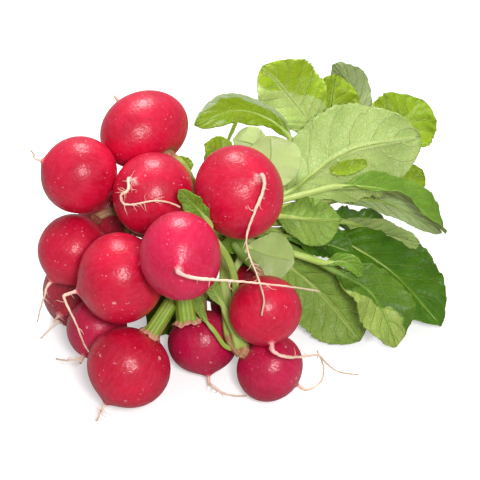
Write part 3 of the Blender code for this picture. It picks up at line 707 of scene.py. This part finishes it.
def taproot(key):
    """The long thin root, from inside the bulb's tail, with its side roots."""
    height = BULBS[key][4]
    knots = [bulb_point(key, height / 2 + reach) for reach in ROOT_LEAD]
    knots += [Vector(point) for point in ROOTS[key]]
    draw = random.Random("root " + key)
    length = sum((b - a).length for a, b in zip(knots, knots[1:]))
    path = smooth_path(knots, max(FEWEST_ROOT_RINGS, round(length / ROOT_RING_SPACING)))
    for i in range(BARE_ROOT_RINGS, len(path) - 1):
        path[i] = path[i] + wander(draw, ROOT_KINK)
    frames = carried_frames(path, Vector((0.2, 0.3, 1)))
    bm = bmesh.new()
    tube(bm, path, frames, lambda t, _: root_radius(t, key), ROOT_SIDES, 0)
    last = max(BARE_ROOT_RINGS + 2, round(len(path) * ROOTED_SHARE))
    for _ in range(SIDE_ROOTS.get(key, USUAL_SIDE_ROOTS)):
        i = draw.randrange(BARE_ROOT_RINGS, last)
        angle = draw.uniform(0, math.tau)
        way, side, up = frames[i]
        out = side * math.cos(angle) + up * math.sin(angle)
        rootlet(bm, draw, path[i], (out + way * draw.uniform(*ROOTLET_LEAN)).normalized())
    finished(bm, "root_" + key, [FINISH["root"]], "pale_root", "taproot_" + key)


# Leaves


def outline(t, width, teeth, ragged):
    """Half the blade's width along it: blunt at the tip, with a toothed and slightly uneven margin."""
    share = min(1, NECK_SHARE + (1 - NECK_SHARE) * t)
    half = width / 2 * math.sin(math.pi * share ** BROAD_TIP) ** ROUND_SIDES
    tooth = (t * teeth) % 1
    toothed = half * (1 - TOOTH_DEPTH * tooth * (teeth > 1))
    uneven = ragged * math.sin(share * math.pi) * math.sin(19 * t + width)
    return toothed + uneven


def vein_place(s, t):
    """How far a point of the blade is past the last side vein, from 0 to 1."""
    lean = VEIN_LEAN * abs(s) ** VEIN_BEND
    return ((t - lean) * SIDE_VEINS + (VEIN_STAGGER if s > 0 else 0)) % 1


def blade(bm, name, spine, frames, upper):
    """The thin blade: folded, waved and puckered between its side veins.

    upper is the number of its upper face's material, and its lower face takes the next."""
    _, _, _, _, _, width, _, _, fold, wave = LEAVES[name]
    _, _, teeth, pucker, ragged = LEAF_LOOKS[name]
    draw = random.Random("leaf " + name)
    phases = [draw.uniform(0, math.tau) for _ in range(2)]
    fine_phase = draw.uniform(0, math.tau)

    def place(s, t):
        i = round(t * BLADE_ROWS)
        _, side, up = frames[i]
        rib = STALK_RADIUS + (RIB_TIP_RADIUS - STALK_RADIUS) * t
        half = max(rib * NARROWEST, outline(t, width, teeth, ragged))
        flat = min(1.0, max(0, half - rib) / (2 * rib))
        tilt = math.radians(fold) * flat
        reach = abs(s) * half
        ripple = wave * flat * abs(s) * math.sin(math.tau * WAVES_ALONG * t + phases[s > 0])
        turn = math.tau * FRILLS * t + fine_phase + 2 * s
        frill = FRILL_HEIGHT * wave * flat * abs(s) ** 4 * math.sin(turn)
        between = math.sin(math.pi * vein_place(s, t)) ** PUCKER_ROUNDING - 0.5
        off_rib = min(1, 6 * abs(s))
        swell = pucker * flat * between * off_rib * (1 - s * s) ** 0.5
        lift = reach * math.sin(tilt) + ripple + frill + swell + RIB_LIFT * rib
        return spine[i] + side * (math.copysign(reach, s) * math.cos(tilt)) + up * lift

    thicken(bm, shaped_sheet(bm, BLADE_COLUMNS, BLADE_ROWS, place), BLADE_THICKNESS, upper, upper + 1)


def stalk_radius(share, t, angle, broad):
    """Grooved along its upper side and broad at the foot.

    share is how far along the stalk it is, and t the share of the blade that it has passed."""
    rib = STALK_THICKNESS + (RIB_TIP_RADIUS - STALK_THICKNESS) * min(1, MIDRIB_FADE * t) ** 0.8
    foot = max(0, 1 - share * FOOT_FADE) ** 0.9
    wide = 1 + (broad * foot + STALK_OVAL) * abs(math.cos(angle)) ** 1.5 * (share < 1)
    groove = 1 - GROOVE_DEPTH * max(0, math.sin(angle)) ** 5
    return rib * wide * groove


def leaf(bm, name, route, upper):
    """A leaf's stalk, which goes on as the midrib, and its blade."""
    _, _, neck, bend, tip, _, face_neck, face_tip, _, _ = LEAVES[name]
    rings = stalk_rings(name, route)
    stalk = smooth_path([*rings, Vector(bend)], STALK_ROWS, last=len(rings) - 1)
    spine = smooth_path([rings[-2], Vector(neck), Vector(bend), Vector(tip)], BLADE_ROWS, first=1)
    whole = stalk + spine[1:]
    if name in STUBS:
        for _ in range(STUB_EASING):
            whole[1:-1] = [(a + b * 2 + c) / 4 for a, b, c in zip(whole, whole[1:], whole[2:])]
        spine = whole[STALK_ROWS:]
    frames = []
    for i in range(len(whole)):
        face = Vector(face_neck).lerp(Vector(face_tip), max(0, i - STALK_ROWS) / BLADE_ROWS)
        frames.append(frame_at(whole, i, face))
    thin = name == THIN_STUB
    broad = STALK_FLARE if LEAVES[name][0] in BROAD_FEET and not thin else SLIM_FLARE
    girth = THIN_STUB_GIRTH if thin else 1
    stalk_share = STALK_ROWS / (len(whole) - 1)
    fades = VEINLESS_FADE if LEAF_LOOKS[name][1] in VEINLESS else 1
    shown = len(whole) - MIDRIB_SHORT

    def radius(t, angle):
        along = t * (shown - 1) / (len(whole) - 1)
        passed = max(0, (along - stalk_share) / (1 - stalk_share))
        return girth * stalk_radius(along / stalk_share, min(1, fades * passed), angle, broad)

    tube(bm, whole[:shown], frames[:shown], radius, STALK_SIDES, 0)
    blade(bm, name, spine, frames[STALK_ROWS:], upper)


def crown(bm, key):
    """The short ribbed stem on a bulb's crown."""
    foot = -crown_height(key) - GAP + CROWN_SUNK
    height = COLLAR_HEIGHT + CROWN_SUNK
    path = [bulb_point(key, foot - step * height / CROWN_STEPS) for step in range(CROWN_STEPS + 1)]
    frames = carried_frames(path, bulb_turn(key) @ Vector((1, 0, 0)))

    def radius(t, angle):
        stem = CROWN_RADIUS * (0.5 + 0.25 * t)
        ribs = 1 + 0.1 * math.cos(CROWN_RIBS * angle + int(key))
        return stem * ribs * (1 - 0.35 * t ** 6)

    tube(bm, path, frames, radius, CROWN_SIDES, 1)


def sheath(bm, key):
    """The split old leaf foot that wraps the stalks by a crown, with a ragged rim where it starts."""
    base, inward, height, girth = SHEATHS[key]
    base, inward = Vector(base), Vector(inward).normalized()
    out = (WRAPPED_SIDE - inward * WRAPPED_SIDE.dot(inward)).normalized()
    across = inward.cross(out)
    draw = random.Random("sheath " + key)
    phases = [draw.uniform(0, math.tau) for _ in range(3)]

    def place(s, t):
        angle = WRAP * s
        ragged = 0.5 * math.sin(9 * s + phases[0]) + 0.3 * math.sin(23 * s + phases[1])
        reach = height * t + ragged * (1 - t) ** 3
        lip = 0.5 * max(0, 1 - 5 * t) ** 2
        pleats = 0.09 * math.cos(7 * s + phases[2]) * (1 - 0.5 * t)
        radius = girth * (1 + lip - 0.12 * t + pleats)
        return base + inward * reach + (out * math.cos(angle) + across * math.sin(angle)) * radius

    thicken(bm, shaped_sheet(bm, SHEATH_COLUMNS, SHEATH_ROWS, place), SHEATH_THICKNESS, 2, 2)


def scrap(bm, row, material):
    """A small loose piece of leaf, curled across and along."""
    _, points, width, face, _ = row
    path = smooth_path([Vector(point) for point in points], SCRAP_ROWS)
    frames = carried_frames(path, Vector(face))

    def place(s, t):
        i = round(t * SCRAP_ROWS)
        _, side, up = frames[i]
        ragged = 1 + 0.08 * math.sin(31 * t + 2 * s)
        half = width / 2 * math.sin(math.pi * (0.04 + 0.92 * t)) ** 0.6 * ragged
        curl = SCRAP_CURL * width * (s * s + 0.5 * math.sin(9 * t + s))
        return path[i] + side * (s * half) + up * curl

    thicken(bm, shaped_sheet(bm, SCRAP_COLUMNS, SCRAP_ROWS, place), BLADE_THICKNESS, material, material)


def foliage(key, routes):
    """All that is green on one radish."""
    bm = bmesh.new()
    stalk = "stalk_shaded" if key in SHADED_STALKS else "stalk"
    materials = [FINISH[stalk], FINISH[CROWNS.get(key, "crown")], FINISH["sheath"]]
    for name in [name for name, row in LEAVES.items() if row[0] == key]:
        leaf(bm, name, routes[name], len(materials))
        materials += [FINISH[tone] for tone in LEAF_LOOKS[name][:2]]
    crown(bm, key)
    if key in SHEATHS:
        sheath(bm, key)
    for row in [row for row in SCRAPS.values() if row[0] == key]:
        scrap(bm, row, len(materials))
        materials.append(FINISH[row[4]])
    finished(bm, "foliage_" + key, materials, "leaf_green", "leaves_" + key)


# The band


def band():
    """The rubber band, wound round the stalks."""
    reach = max((tie_place(name) - TIE_CENTRE).length for name in LEAVES if in_tie(name))
    inner = reach + STALK_RADIUS + 3 * GAP
    across = standing(TIE_AXIS)
    path = []
    for i in range(BAND_RINGS + 1):
        share = i / BAND_RINGS
        angle = math.tau * BAND_TURNS * share
        along = (share - 0.5) * (BAND_WIDTH - BAND_THICKNESS) + 0.35 * math.sin(angle * 0.7)
        radius = inner + BAND_THICKNESS / 2 + 0.12 * math.sin(angle * 1.3)
        path.append(TIE_CENTRE + across @ Vector((radius * math.cos(angle), radius * math.sin(angle), along)))
    bm = bmesh.new()
    frames = carried_frames(path, TIE_AXIS)
    tube(bm, path, frames, lambda _, angle: CORD_RADIUS * (1 + 0.2 * math.cos(4 * angle)), BAND_SIDES, 0)
    finished(bm, "elastic_band", [FINISH["band"]], "band_rubber", "rubber_band")


# Finishes


class Nodes:
    """A material's node tree, with short ways to add to it."""

    def __init__(self, name):
        self.material = bpy.data.materials.new(name)
        self.material.use_nodes = True
        self.tree = self.material.node_tree
        self.shader = self.tree.nodes["Principled BSDF"]

    def add(self, kind, inputs=None, output=0, **settings):
        """Adds a node, sets or links its inputs, and returns one of its outputs."""
        made = self.tree.nodes.new(kind)
        for key, value in settings.items():
            setattr(made, key, value)
        for key, value in (inputs or {}).items():
            self.give(made.inputs[key], value)
        return made.outputs[output]

    def give(self, socket, value):
        """Links a socket to another node's output, or sets it to a number or a colour."""
        if isinstance(value, bpy.types.NodeSocket):
            self.tree.links.new(value, socket)
        elif isinstance(value, tuple) and len(value) == 3 and socket.type == "RGBA":
            socket.default_value = (*value, 1)
        else:
            socket.default_value = value

    def shade(self, **values):
        """Sets or links the shader's own sockets, named with _ for spaces."""
        for key, value in values.items():
            self.give(self.shader.inputs[key.replace("_", " ")], value)
        return self.material

    def math(self, operation, a, b=0.0):
        return self.add("ShaderNodeMath", {0: a, 1: b}, operation=operation)

    def times(self, a, b):
        """One value times another."""
        return self.math("MULTIPLY", a, b)

    def plus(self, total, value, times):
        """The total, with so many times the value added."""
        return self.math("ADD", total, self.times(value, times))

    def step(self, value, low, high, to_low=0.0, to_high=1.0):
        """Rises smoothly from to_low to to_high as the value goes from low to high."""
        ranges = {"Value": value, "From Min": low, "From Max": high, "To Min": to_low, "To Max": to_high}
        return self.add("ShaderNodeMapRange", ranges, interpolation_type="SMOOTHSTEP")

    def mix(self, share, a, b):
        """A blend of two colours."""
        return self.add("ShaderNodeMix", {0: share, 6: a, 7: b}, output=2, data_type="RGBA")

    def tint(self, colour, where, strength, other):
        """A colour turned towards another, with a strength, where a mark is."""
        return self.mix(self.times(where, strength), colour, other)

    def waver(self, value, noise, most):
        """A value that a noise moves by up to so much either way."""
        return self.math("ADD", value, self.step(noise, 0.3, 0.7, -most, most))

    def noise(self, place, scale, detail=2.0, rough=0.5, output=0):
        """Smooth noise: its value, or its colour as output 1."""
        inputs = {"Vector": place, "Scale": scale, "Detail": detail, "Roughness": rough}
        return self.add("ShaderNodeTexNoise", inputs, output)

    def cells(self, place, scale, feature="F1"):
        """The distance to the middle of a cell, or to its edge."""
        return self.add("ShaderNodeTexVoronoi", {"Vector": place, "Scale": scale}, feature=feature)

    def place(self):
        """A point's place in the model, in metres."""
        return self.add("ShaderNodeTexCoord", output=3)

    def uv(self):
        """How far a point is across its piece and along it, from 0 to 1."""
        return self.axes(self.add("ShaderNodeTexCoord", output=2))[:2]

    def bump(self, height, depth):
        """A relief with its depth in millimetres."""
        return self.add("ShaderNodeBump", {"Height": height, "Distance": depth * MM, "Strength": 1.0})

    def axes(self, vector):
        """The three parts of a vector."""
        made = self.tree.nodes.new("ShaderNodeSeparateXYZ")
        self.give(made.inputs[0], vector)
        return made.outputs[:3]


def skin(name, base, deep, blush):
    """Radish skin: streaked and mottled, pale by the root, with freckles, pits and a few scars."""
    n = Nodes(name)
    spot = n.add("ShaderNodeAttribute", output=1, attribute_name="skin_place")
    place = n.place()
    _, _, height = n.axes(spot)
    long_spot = n.add("ShaderNodeMapping", {"Vector": spot, "Scale": (7, 7, 1.3)})
    streaks = n.step(n.noise(long_spot, 1.6, 4.0, 0.6), 0.35, 0.7)
    patches = n.step(n.noise(place, 60.0, 4.0, 0.6), 0.32, 0.68)
    grain = n.step(n.noise(place, 700.0, 3.0, 0.7), 0.55, 0.75)
    drift = n.noise(place, 900.0, output=1)
    rough_place = n.add("ShaderNodeMix", {0: 0.0012, 4: place, 5: drift}, output=1, data_type="VECTOR")
    freckle = n.step(n.cells(rough_place, 430.0), 0.2, 0.12)
    freckles = n.times(freckle, n.step(n.noise(place, 130.0), 0.54, 0.6))
    scar = n.step(n.cells(rough_place, 150.0), 0.17, 0.1)
    scars = n.times(scar, n.step(n.noise(place, 75.0), 0.57, 0.61))
    pit = n.step(n.cells(place, 95.0), 0.085, 0.05)
    pits = n.times(pit, n.step(n.noise(place, 40.0, 1.0), 0.5, 0.55))
    by_root = n.waver(height, n.noise(long_spot, 3.0), 0.002)
    colour = n.mix(patches, base, deep)
    colour = n.tint(colour, streaks, 0.2, blush)
    colour = n.tint(colour, grain, 0.32, blush)
    colour = n.tint(colour, freckles, 0.6, FRECKLE)
    colour = n.tint(colour, scars, 0.7, SCAR)
    colour = n.tint(colour, pits, 0.5, PIT)
    colour = n.mix(n.step(by_root, 0.991, 1.0, 0.0, 0.75), colour, PALE_TAIL)
    colour = n.mix(n.step(height, -0.95, -0.99), colour, CROWN_RIM)
    rough = n.step(n.noise(place, 260.0, 3.0), 0.3, 0.7, 0.38, 0.56)
    relief = n.plus(n.noise(place, 900.0, 3.0), scars, -1.5)
    relief = n.plus(relief, n.noise(place, 200.0), 2.5)
    relief = n.plus(relief, freckles, 0.8)
    return n.shade(Base_Color=colour, Roughness=rough, Normal=n.bump(relief, 0.12), Specular_IOR_Level=0.22,
                   Coat_Weight=0.4, Coat_Roughness=0.25, Coat_Normal=n.bump(relief, 0.16))


def leaf_finish(name, base, deep, vein, vein_strength, rough, turned=None):
    """One face of a leaf: mottled, with paler side veins and a fine net between them.

    turned is a second colour for the part past a fold, with the fold's lean to the side, its slope along the
    leaf and where it starts."""
    n = Nodes(name)
    place = n.place()
    u, v = n.uv()
    s = n.math("MULTIPLY_ADD", u, 2.0)
    s.node.inputs[2].default_value = -1.0
    across = n.math("ABSOLUTE", s)
    lean = n.times(n.math("POWER", across, VEIN_BEND), VEIN_LEAN)
    along = n.waver(n.math("SUBTRACT", v, lean), n.noise(place, 120.0), 0.012)
    along = n.times(along, float(SIDE_VEINS))
    along = n.plus(along, n.math("GREATER_THAN", s, 0.0), VEIN_STAGGER)
    since = n.math("FRACT", n.math("ADD", along, 10.0))
    off = n.math("MINIMUM", since, n.math("SUBTRACT", 1.0, since))
    thin = n.step(across, 0.0, 1.0, 0.085, 0.02)
    veins = n.step(n.math("DIVIDE", off, thin), 1.0, 0.2)
    midrib = n.step(across, 0.1, 0.04)
    lines = n.math("MAXIMUM", veins, midrib)
    net = n.step(n.cells(place, 420.0, "DISTANCE_TO_EDGE"), 0.09, 0.02)
    mottle = n.step(n.noise(place, 48.0, 4.0, 0.6), 0.3, 0.7)
    colour = n.mix(mottle, base, deep)
    if turned:
        second, side, slope, start = turned
        past = n.plus(n.times(s, side), v, slope)
        past = n.waver(past, n.noise(place, 90.0), 0.12)
        # A darker line along the fold is painted shade in the crease.
        crease_shade = n.times(n.step(past, start - 0.1, start), n.step(past, start + 0.07, start))
        colour = n.mix(n.step(past, start - 0.03, start + 0.03), colour, second)
        colour = n.tint(colour, crease_shade, 0.35, deep)
    colour = n.tint(colour, net, 0.22 * vein_strength, vein)
    colour = n.tint(colour, lines, vein_strength, vein)
    colour = n.tint(colour, n.step(across, 0.93, 1.0), 0.3, vein)
    relief = n.times(lines, 2.4 * vein_strength)
    relief = n.math("ADD", relief, n.noise(place, 500.0, 4.0))
    relief = n.plus(relief, n.noise(place, 130.0, 3.0), 4.5 * vein_strength)
    relief = n.plus(relief, net, 0.8 * vein_strength)
    shine = n.step(n.noise(place, 180.0, 3.0), 0.3, 0.7, rough - 0.07, rough + 0.1)
    return n.shade(Base_Color=colour, Roughness=shine, Normal=n.bump(relief, 0.3), Specular_IOR_Level=0.25,
                   Subsurface_Weight=0.15, Subsurface_Scale=0.002)


def stalk_finish(name, base, pale, foot):
    """Leaf stalks: mottled and ridged along, with another colour by the foot and a torn brown end."""
    n = Nodes(name)
    place = n.place()
    u, v = n.uv()
    torn = n.waver(v, n.noise(place, 500.0, 3.0), 0.008)
    ridges = n.math("SINE", n.times(u, 75.0))
    colour = n.mix(n.step(n.noise(place, 90.0, 3.0), 0.35, 0.65), base, pale)
    colour = n.mix(n.step(v, 0.1, 0.0), colour, foot)
    colour = n.mix(n.step(torn, 0.035, 0.02), colour, TORN_FOOT)
    colour = n.mix(n.step(ridges, 0.3, 1.0, 0.0, 0.25), colour, pale)
    return n.shade(Base_Color=colour, Roughness=0.38, Normal=n.bump(ridges, 0.05), Specular_IOR_Level=0.3,
                   Subsurface_Weight=0.1, Subsurface_Scale=0.002)


def sheath_finish():
    """An old leaf foot: green, ridged along, and dry and brown at the rim."""
    n = Nodes("sheath")
    place = n.place()
    u, v = n.uv()
    ridges = n.math("SINE", n.times(u, 44.0))
    ridges = n.math("ADD", n.times(ridges, 0.5), n.noise(place, 300.0, 3.0))
    rim = n.waver(v, n.noise(place, 400.0, 3.0), 0.05)
    colour = n.mix(n.step(ridges, 0.0, 1.1), (0.18, 0.30, 0.02), (0.29, 0.41, 0.045))
    colour = n.mix(n.step(rim, 0.13, 0.07), colour, DRY_RIM)
    return n.shade(Base_Color=colour, Roughness=0.5, Normal=n.bump(ridges, 0.08))


def mottled_finish(name, base, second, rough, relief, scale):
    """Two colours in mottles, with a finer relief."""
    n = Nodes(name)
    place = n.place()
    mottle = n.noise(place, scale, 4.0, 0.6)
    grain = n.noise(place, scale * 4, 3.0)
    colour = n.mix(n.step(mottle, 0.35, 0.65), base, second)
    return n.shade(Base_Color=colour, Roughness=rough, Normal=n.bump(grain, relief))


def root_finish():
    """Taproots: pink by the bulb, then a mottled pinkish white, and duller towards the tip."""
    n = Nodes("root")
    place = n.place()
    _, v = n.uv()
    colour = n.mix(n.step(n.noise(place, 220.0, 3.0), 0.35, 0.7), (0.88, 0.68, 0.51), (0.83, 0.50, 0.40))
    colour = n.mix(n.step(v, 0.55, 1.0), colour, ROOT_TIP)
    colour = n.mix(n.step(v, 0.22, 0.0), colour, ROOT_BLUSH)
    return n.shade(Base_Color=colour, Roughness=0.5, Normal=n.bump(n.noise(place, 1400.0), 0.05))


def floor_finish():
    """A white card that glows a little to the eye and throws less light back on the bunch."""
    n = Nodes("floor")
    seen = n.add("ShaderNodeLightPath", output=0)
    colour = n.mix(seen, FLOOR_THROWN, FLOOR_SEEN)
    glow = n.times(seen, FLOOR_GLOW)
    return n.shade(Base_Color=colour, Roughness=0.7, Emission_Color=(1, 1, 1, 1), Emission_Strength=glow)


def finishes():
    """Makes every finish that the pieces take, by name."""
    kinds = (
        (SKIN_TONES, skin, "skin_"), (LEAF_TONES, leaf_finish, "leaf_"),
        (STALK_TONES, stalk_finish, ""), (MOTTLED_TONES, mottled_finish, ""),
    )
    for tones, make, kind in kinds:
        for name, row in tones.items():
            FINISH[name] = make(kind + name, *row)
    FINISH["root"] = root_finish()
    FINISH["sheath"] = sheath_finish()
    FINISH["floor"] = floor_finish()


# The stage


def floor():
    """A plain pale floor."""
    bm = bmesh.new()
    bmesh.ops.create_grid(bm, x_segments=1, y_segments=1, size=FLOOR_REACH)
    mesh = bpy.data.meshes.new("floor")
    bm.to_mesh(mesh)
    bm.free()
    mesh.materials.append(FINISH["floor"])
    added("floor", mesh)


def light(name, place, aim, size, power):
    """A square soft light at a place, aimed at a point."""
    lamp = bpy.data.lights.new(name, "AREA")
    lamp.shape = "SQUARE"
    lamp.size = size
    lamp.energy = power
    made = added(name, lamp)
    made.location = place
    made.rotation_euler = (Vector(aim) - Vector(place)).to_track_quat("-Z", "Y").to_euler()


def studio():
    """A white surround, a large light above and behind, and a small one beside the camera."""
    world = bpy.data.worlds.new("studio")
    world.use_nodes = True
    surround = world.node_tree.nodes["Background"].inputs
    surround["Color"].default_value = (1, 1, 1, 1)
    surround["Strength"].default_value = SURROUND
    bpy.context.scene.world = world
    for name, row in LIGHTS.items():
        light(name, *row)
    bpy.context.scene.view_settings.view_transform = "Standard"


def camera():
    """A long lens that looks down at the bunch."""
    lens = bpy.data.cameras.new("camera")
    lens.lens = CAMERA_LENS
    lens.sensor_width = 36
    made = added("camera", lens)
    target = (Vector(CAMERA_TARGET) + LAYOUT_SHIFT) * MM
    lean = math.radians(CAMERA_HEIGHT_ANGLE)
    made.location = target + Vector((0, -math.cos(lean), math.sin(lean))) * CAMERA_DISTANCE
    made.rotation_euler = (math.pi / 2 - lean, 0, 0)
    bpy.context.scene.camera = made


camera()
finishes()
floor()
studio()
for key in BULBS:
    bulb(key, FINISH[SKINS.get(key, "crimson")])
    taproot(key)
routes = leaf_routes()
for key in BULBS:
    foliage(key, routes)
band()
